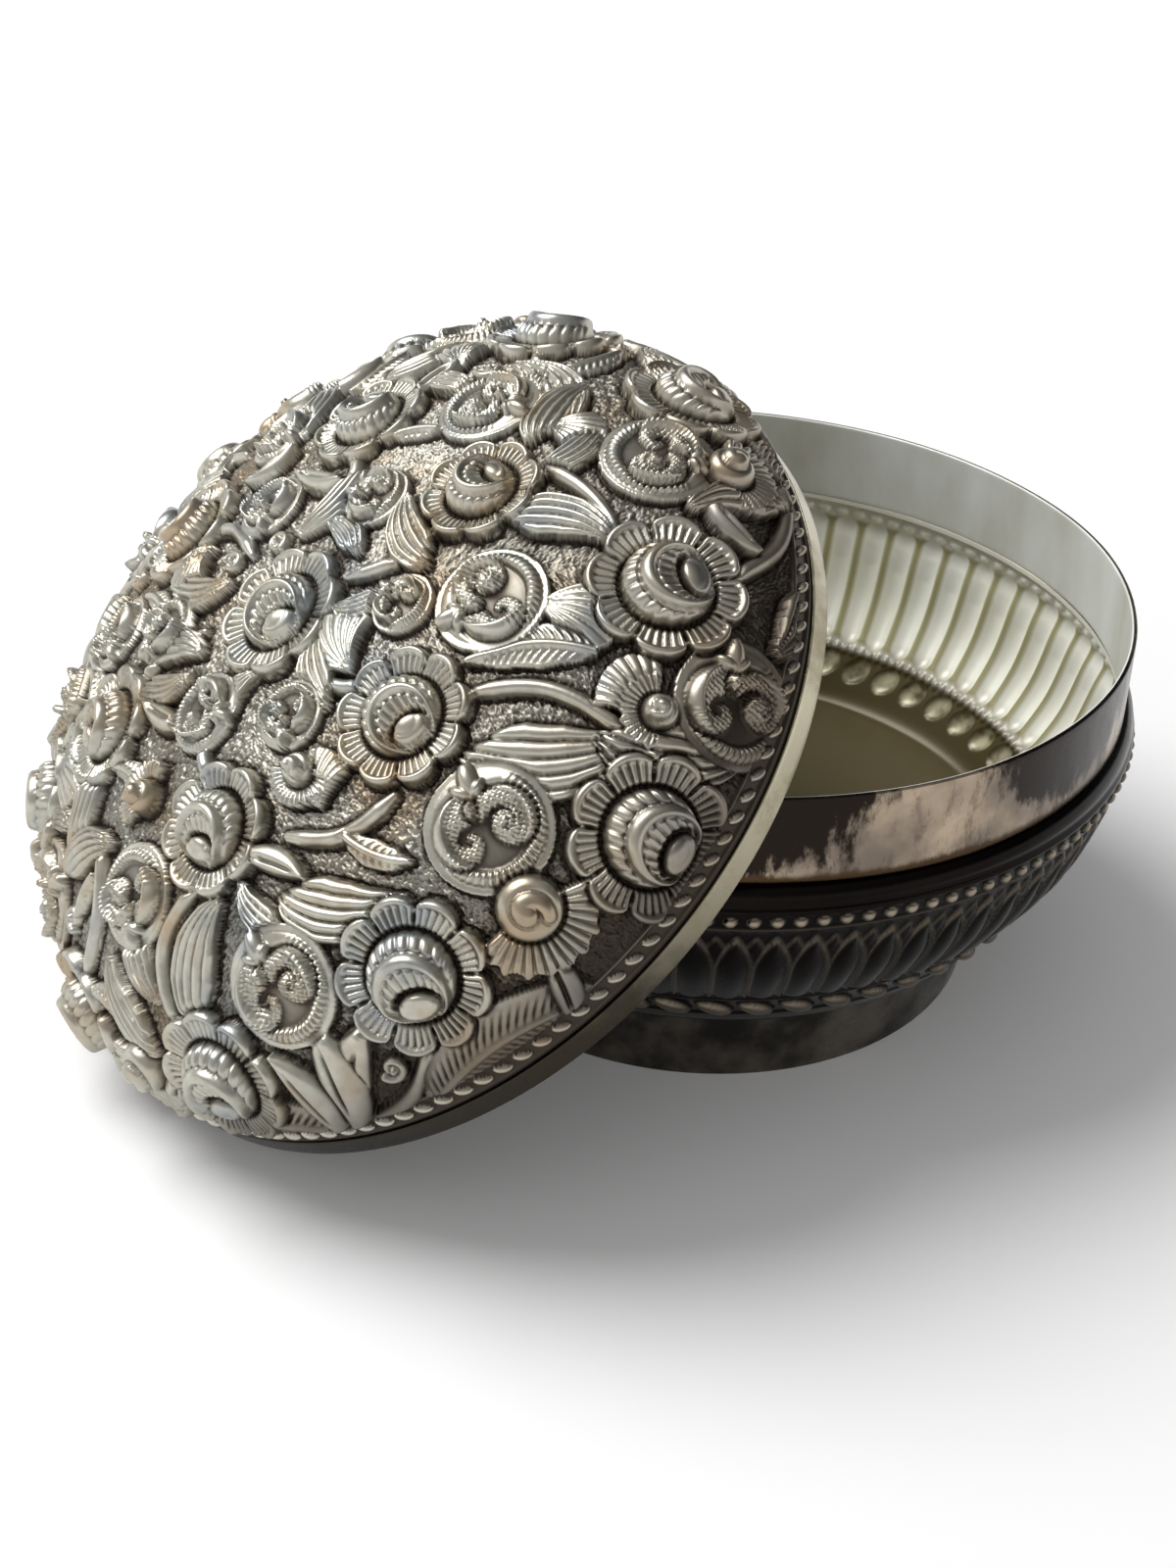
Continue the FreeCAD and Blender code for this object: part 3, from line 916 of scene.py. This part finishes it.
for base, tip, hand in (
    ((300, 57), (291, 40), 1), ((250, 44), (258, 53), 1), ((240, 85), (266, 86), -1),
    ((134, 85), (110, 86), 1), ((44, 85), (20, 86), 1), ((206, 85), (230, 86), -1),
    ((306, 86), (326, 86), 1), ((160, 86), (184, 86), -1), ((76, 86), (98, 86), -1),
    ((142, 48), (146, 60), -1), ((48, 46), (44, 60), 1), ((356, 86), (336, 86), 1),
):
    feather(base, tip, hand)
for base, tip, hand in (
    ((293, 67), (299, 59), 1), ((247, 39), (254, 31), -1), ((112, 50), (120, 58), 1),
    ((22, 50), (28, 58), -1), ((166, 84), (158, 76), -1), ((2, 84), (354, 76), -1),
):
    fan(base, tip, hand)
for base, tip, hand in (
    ((229, 85), (240, 69), -1), ((230, 85), (233, 66), 1), ((228, 85), (225, 69), 1),
    ((260, 86), (264, 74), 1), ((200, 86), (207, 73), -1), ((70, 86), (64, 70), 1),
):
    pod(base, tip, hand)

# Medallions: degrees round the crown, distance, width, heading.
for angle, distance, width, heading in (
    (270, 57, 18.5, 20), (301, 77, 18.5, 60), (306, 39, 17.0, -40), (336, 62, 17.5, 200),
    (230, 60, 18.0, -20), (195, 19, 13.0, 80), (303, 25, 10.0, 30), (196, 48, 16.0, 150),
    (166, 64, 17.5, 30), (132, 60, 17.0, 210), (100, 58, 16.5, 20), (66, 62, 17.5, 60),
    (34, 66, 17.0, 180), (4, 44, 16.0, 250), (64, 22, 12.0, 10), (130, 24, 12.0, 120),
    (2, 22, 11.0, 60), (246, 22, 11.0, 200), (124, 40, 13.0, 60), (64, 42, 12.0, 320),
):
    medallion(angle, distance, width, heading)

# Shells: degrees round the crown, distance, width, heading.
for angle, distance, width, heading in (
    (266, 71, 15.0, 10), (244, 33, 8.5, 40), (295, 66, 8.5, 160), (198, 76, 13.0, 20),
    (150, 76, 13.0, -10), (100, 80, 13.0, 10), (34, 79, 12.0, -10), (334, 74, 12.0, 0),
    (186, 34, 9.0, 100), (64, 76, 11.0, 30),
):
    shell(angle, distance, width, heading)

# Rosebuds: degrees round the crown, distance, width, petals, heading.
for angle, distance, width, petals, heading in (
    (270, 3, 22.5, 8, 20), (34, 36, 20.0, 8, 0), (94, 36, 20.5, 8, 10), (154, 36, 20.5, 9, -10),
    (217, 36, 20.5, 8, 15), (274, 36, 21.5, 9, 10), (338, 36, 19.0, 8, -15), (282, 75, 24.0, 9, -5),
    (249, 66, 23.0, 9, 15), (313, 63, 23.5, 8, -25), (214, 73, 23.0, 9, 0), (181, 75, 22.0, 8, 10),
    (148, 62, 21.5, 9, 0), (117, 74, 22.5, 8, -10), (84, 66, 22.0, 9, 5), (51, 73, 22.5, 8, 0),
    (18, 66, 22.0, 9, -5), (350, 72, 22.0, 8, 10),
):
    rosette(angle, distance, width, petals, heading)

# Small leaves and tendrils fill what ground is still bare, thrown by a seeded hand, behind all the rest.
# A throw is dropped where more than a small share of the ground close by is covered.
filling_hand = np.random.default_rng(11)
throws = 1500
bare_reach = 3.1
most_covered = 0.06
curl_size = 3.2
border_width = 5.6
sparse = np.arange(0, len(flat_x), 23)
for _ in range(throws):
    angle = filling_hand.uniform(0, 360)
    distance = (dome_run - border_width - 2) * math.sqrt(filling_hand.uniform(0, 1))
    heading = filling_hand.uniform(0, 2 * math.pi)
    size = filling_hand.uniform(8.0, 13.0)
    hand = filling_hand.choice((-1, 1))
    kind = filling_hand.choice((wing, wing, feather, fan, pod, curl))
    spot_x = distance * math.cos(math.radians(angle))
    spot_y = distance * math.sin(math.radians(angle))
    close = np.hypot(flat_x[sparse] - spot_x, flat_y[sparse] - spot_y)
    if covered[sparse][close < bare_reach].mean() > most_covered:
        continue
    if kind is curl:
        curl(angle, distance, curl_size, math.degrees(heading), hand, behind=True)
        continue
    ends = []
    for away in (-size / 2, size / 2):
        end_x, end_y = spot_x + away * math.cos(heading), spot_y + away * math.sin(heading)
        ends.append((math.degrees(math.atan2(end_y, end_x)), math.hypot(end_x, end_y)))
    base, tip = ends
    kind(base, tip, hand, behind=True)

# The ground between is matted with a small punch, and the rim has beads between fine lines.
ground_hand = np.random.default_rng(5)


def blurred(field, reach):
    """A square field averaged over so many cells each way, twice."""
    for axis in (0, 1, 0, 1):
        sides = [(reach + 1, reach) if axis == side else (0, 0) for side in (0, 1)]
        total = np.cumsum(np.pad(field, sides, mode="edge"), axis=axis)
        window, last = 2 * reach + 1, total.shape[axis]
        ahead = np.take(total, range(window, last), axis)
        field = (ahead - np.take(total, range(last - window), axis)) / window
    return field


grid = (dome_cells + 1, dome_cells + 1)
grains = ground_hand.random(grid)
matting = (0.3 * grains + 0.7 * blurred(grains, 1)).ravel()
form_grain, ground_grain = 0.03, 1.2
relief += np.where(covered, form_grain, ground_grain) * (matting - 0.5)

# Rim beads: how many, how far in they stand, half their height, their slant, and the share of the spacing
# that one takes. Then the height and width of the fine lines on either side.
rim_gap = dome_run - from_crown
rim_beads = 126
bead_gap = 3.0
bead_half = 1.0
bead_slant = 0.24
bead_filled = 0.62
rim_line, rim_line_width = 0.45, 0.25
bead_turn = round_angle / (2 * math.pi) * rim_beads + (rim_gap - bead_gap) * bead_slant
bead_across = (bead_turn % 1 - 0.5) * 2 / bead_filled
beads = np.sqrt(np.clip(1 - ((rim_gap - bead_gap) / bead_half) ** 2 - bead_across ** 2, 0, 1))
border = 0.2 + beads
for line_gap in (1.45, 4.75):
    border += rim_line * bell(rim_gap - line_gap, rim_line_width)
in_border = rim_gap < border_width - 0.5
relief[in_border] = border[in_border] * np.clip(rim_gap[in_border] / 0.6, 0, 1)
field = relief.reshape(grid)

reach = np.minimum(from_crown, dome_run)
ring = np.interp(reach, section_run, section_radius)
rise = np.interp(reach, section_run, section_height)
slope_out = np.interp(reach, section_run, np.gradient(section_radius, section_run))
slope_down = np.interp(reach, section_run, np.gradient(section_height, section_run))
length = np.hypot(slope_out, slope_down)


def dome_surface(height):
    """Points of the dome, standing off its ground by a height along its normal."""
    out = ring + height * -slope_down / length
    up = rise + height * slope_out / length
    return in_lid(np.stack([out * np.cos(round_angle), out * np.sin(round_angle), up], axis=-1))


# The inside follows the relief, softened by the sheet, on every second cell.
hollow = field.copy()
for axis in (0, 1):
    for shift in (1, 2, 3):
        hollow = np.minimum(hollow, np.minimum(np.roll(hollow, shift, axis), np.roll(hollow, -shift, axis)))
hollow = np.minimum(blurred(hollow, 2), field) - dome_sheet
outer_points = dome_surface(relief)
inner_points = dome_surface(hollow.ravel()).reshape(grid + (3,))[::2, ::2].reshape(-1, 3)


def grid_faces(cells, first_number):
    """Quads of a square grid of points, and its edge points in order round the outside."""
    number = first_number + np.arange((cells + 1) ** 2).reshape(cells + 1, cells + 1)
    quads = np.stack([number[:-1, :-1], number[1:, :-1], number[1:, 1:], number[:-1, 1:]], axis=-1)
    edge = np.concatenate([number[:-1, 0], number[-1, :-1], number[:0:-1, -1], number[0, :0:-1]])
    return quads.reshape(-1, 4), edge


outer_quads, outer_edge = grid_faces(dome_cells, 0)
inner_quads, inner_edge = grid_faces(dome_cells // 2, len(outer_points))
inner_quads = inner_quads[:, ::-1]
even, odd, following = outer_edge[0::2], outer_edge[1::2], np.roll(outer_edge[0::2], -1)
inner_next = np.roll(inner_edge, -1)
edge_triangles = np.concatenate(
    [
        np.stack([odd, even, inner_edge], axis=-1),
        np.stack([odd, inner_edge, inner_next], axis=-1),
        np.stack([following, odd, inner_next], axis=-1),
    ]
)
grid_share = np.stack([(first.ravel() + 1) / 2, (second.ravel() + 1) / 2], axis=-1)
half_share = grid_share.reshape(grid + (2,))[::2, ::2].reshape(-1, 2)
point_places = np.concatenate([0.005 + 0.74 * grid_share, (0.755, 0.005) + 0.24 * half_share])
edge_places = (0.8, 0.6) + 0.1 * point_places[edge_triangles.ravel()]
bake_places = np.concatenate(
    [point_places[outer_quads.ravel()], point_places[inner_quads.ravel()], edge_places]
)
dome = make_piece(
    "lid_dome_silver",
    np.concatenate([outer_points, inner_points]),
    [outer_quads, inner_quads, edge_triangles],
    bake_places,
)

# Polish reaches the tops and leaves oxide in the hollows, and their black is also painted shade: what lies
# below its surroundings stays dark.
fine_hollow = np.clip((blurred(field, 2) - field) / 0.45, 0, 1)
near_hollow = np.clip((blurred(field, 5) - field) / 1.2, 0, 1)
wide_hollow = np.clip((blurred(field, 16) - field) / 2.6, 0, 1)
bare_ground = np.where(in_border, np.where(border < 0.5, 0.75, 0), np.where(covered, 0, 0.24)).reshape(grid)
# Painted shade: the rim is darkened where it faces the front, apart from its beads.
front_turn = math.radians(270)
facing_front = np.clip(1.7 * np.cos(round_angle - front_turn), 0, 1) * np.clip((19 - rim_gap) / 13, 0, 1)
facing_front[in_border & (beads > 0.25)] = 0
rim_painted_shade = 0.55 * facing_front.reshape(grid) * np.clip(1.25 - field / 6, 0.5, 1)
# The matted floors inside the medallions, under their scrolls, are out of the polish's reach too.
matted_floor = 0.5 * sunken.reshape(grid) * np.clip(1.9 - field, 0, 1)
hollows = 0.35 * fine_hollow + 0.45 * near_hollow + 0.35 * wide_hollow
recess = np.clip(hollows + bare_ground + matted_floor + rim_painted_shade, 0, 1)
inner_recess = np.full(len(inner_points), 0.35)
mark(dome, "recess", np.concatenate([recess.ravel(), inner_recess]))

# Chased silver, oxidised and rubbed back: grey and bright on the tops, brown to black in the hollows, which
# is oxide and painted shade, with thin films of tarnish that tint the metal straw, pink and blue, and browner
# on the side turned away from the lamp, which is painted shade.
shade_side = Vector((0.87, -0.5, -0.3))
dome_metal, tree, place = new_metal("oxidised_repousse_silver")
depth = add(tree, "Attribute", {"attribute_name": "recess"}, {})["Fac"]
clouds = add(tree, "TexNoise", {}, {"Vector": place, "Scale": per(15), "Detail": 4, "Roughness": 0.55})["Fac"]
specks = add(tree, "TexNoise", {}, {"Vector": place, "Scale": per(2.2), "Detail": 3})["Fac"]
warmth = add(tree, "MapRange", eased, {0: clouds, 1: 0.48, 2: 0.70, 3: 0, 4: 1})[0]
cold = add(tree, "MapRange", eased, {0: clouds, 1: 0.46, 2: 0.30, 3: 0, 4: 1})[0]
warm = add(tree, "Mix", of_colours, {0: warmth, 6: linear("#c4c2b6"), 7: linear("#b3a188")})[2]
tops = add(tree, "Mix", of_colours, {0: cold, 6: warm, 7: linear("#a3a8a9")})[2]
film = add(tree, "MapRange", {}, {0: specks, 1: 0.3, 2: 0.75, 3: 0.0, 4: 0.4})[0]
filmed = add(tree, "Mix", of_colours, {0: film, 6: tops, 7: linear("#8a8377")})[2]
across = add(tree, "VectorMath", {"operation": "DOT_PRODUCT"}, {0: place, 1: shade_side})["Value"]
shade_range = {0: across, 1: -70 * mm, 2: -10 * mm, 3: 0, 4: 0.6}
# Painted shade: the side turned from the lamp, low and to the front right, is browned.
shade_share = add(tree, "MapRange", eased, shade_range)[0]
browned = add(tree, "Mix", of_colours, {0: shade_share, 6: filmed, 7: linear("#908270")})[2]
# The black of the hollows is both oxide and painted shade.
black = add(tree, "MapRange", eased, {0: depth, 1: 0.0, 2: 0.8, 3: 0, 4: 1})[0]
colour = add(tree, "Mix", of_colours, {0: black, 6: browned, 7: linear("#443d36")})[2]
dull = add(tree, "MapRange", {}, {0: black, 1: 0, 2: 1, 3: 0.36, 4: 0.5})[0]
grain = add(tree, "TexNoise", {}, {"Vector": place, "Scale": per(0.8), "Detail": 3})["Fac"]
bump = add(tree, "Bump", {}, {"Strength": 0.2, "Distance": 0.06 * mm, "Height": grain})[0]
put_on(dome, dome_metal, colour, dull, bump)
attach(dome, "lid")
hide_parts("lid_dome")

# Floor, light and camera
# A plain pale table under one large soft lamp at the back left, in a room that is darker to the right.

# The table's rings, as (radius, height) in metres: it is level, and rises far out.
table_rings = ((3.0, 0.0), (3.6, 0.05), (4.4, 0.28), (5.2, 0.7), (6.0, 1.3))
sides = 96
ring_turns = [2 * math.pi * side / sides for side in range(sides)]
floor_corners = [(far * math.cos(t), far * math.sin(t), up) for far, up in table_rings for t in ring_turns]
floor_faces = [tuple(range(sides))]
for ring in range(len(table_rings) - 1):
    for side in range(sides):
        here, beside = ring * sides + side, ring * sides + (side + 1) % sides
        floor_faces.append((here, here + sides, beside + sides, beside))
floor_mesh = bpy.data.meshes.new("floor")
floor_mesh.from_pydata(floor_corners, [], floor_faces)
floor = bpy.data.objects.new("floor", floor_mesh)
bpy.context.scene.collection.objects.link(floor)

# Matt white board: its colour is even, and its own white, which grows with distance, keeps it pale to the
# eye.
board = bpy.data.materials.new("matt_white_board")
board.use_nodes = True
tree = board.node_tree
shader = tree.nodes["Principled BSDF"]
shader.inputs["Base Color"].default_value = linear("#fafafa")
shader.inputs["Roughness"].default_value = 0.9
shader.inputs["Specular IOR Level"].default_value = 0.1
seen = add(tree, "LightPath", {}, {})
direct = add(tree, "Math", {"operation": "MAXIMUM"}, {0: seen["Is Camera Ray"], 1: seen["Is Glossy Ray"]})[0]
shown = add(tree, "Math", {"operation": "MAXIMUM"}, {0: direct, 1: seen["Is Transmission Ray"]})[0]
place = add(tree, "TexCoord", {}, {})["Object"]
far = add(tree, "VectorMath", {"operation": "LENGTH"}, {0: place})["Value"]
own_white = add(tree, "MapRange", eased, {0: far, 1: 0.3, 2: 2.2, 3: 0.06, 4: 0.9})[0]
lifted = add(tree, "Math", {"operation": "MULTIPLY"}, {0: shown, 1: own_white})[0]
shader.inputs["Emission Color"].default_value = (1, 1, 1, 1)
tree.links.new(lifted, shader.inputs["Emission Strength"])
floor_mesh.materials.append(board)

# One large soft lamp, high at the back left.
lamp_direction = Vector((-0.42, 0.44, 0.92)).normalized()
lamp_distance = 2.2
lamp = bpy.data.lights.new("soft_lamp", "AREA")
lamp.shape = "DISK"
lamp.size = 1.6
lamp.energy = 42.0
lamp_object = bpy.data.objects.new("soft_lamp", lamp)
lamp_object.location = lamp_direction * lamp_distance
lamp_object.rotation_euler = lamp_direction.to_track_quat("Z", "Y").to_euler()
bpy.context.scene.collection.objects.link(lamp_object)

# The room: pale on the side that the light comes from, grey on the other.
room = bpy.data.worlds.new("studio_room")
room.use_nodes = True
tree = room.node_tree
way = add(tree, "TexCoord", {}, {})["Generated"]
bright_side = Vector((-0.70, -0.10, 0.68))
facing = add(tree, "VectorMath", {"operation": "DOT_PRODUCT"}, {0: way, 1: bright_side})["Value"]
glow = add(tree, "MapRange", eased, {0: facing, 1: -0.5, 2: 1.0, 3: 0, 4: 1})[0]
light = add(tree, "Mix", of_colours, {0: glow, 6: linear("#4c4c4e"), 7: linear("#ffffff")})[2]
tree.links.new(light, tree.nodes["Background"].inputs["Color"])
tree.nodes["Background"].inputs["Strength"].default_value = 0.55
bpy.context.scene.world = room

# The photograph's viewpoint: where the camera stood, what lies at the middle of its frame, and its tilt.
camera_place = Vector((-202.3, -314.2, 259.8)) * mm
camera_aim = Vector((-29.3, -10.6, 40.0)) * mm
camera_roll = math.radians(2.57)
camera = bpy.data.cameras.new("camera")
camera.sensor_width = 36.0
camera.lens = 58.5
camera.clip_start = 0.01
camera_object = bpy.data.objects.new("camera", camera)
camera_object.location = camera_place
camera_object.rotation_mode = "QUATERNION"
level_view = (camera_aim - camera_place).to_track_quat("-Z", "Y")
camera_object.rotation_quaternion = level_view @ Quaternion((0, 0, 1), camera_roll)
bpy.context.scene.collection.objects.link(camera_object)
bpy.context.scene.camera = camera_object
bpy.context.scene.view_settings.view_transform = "Standard"
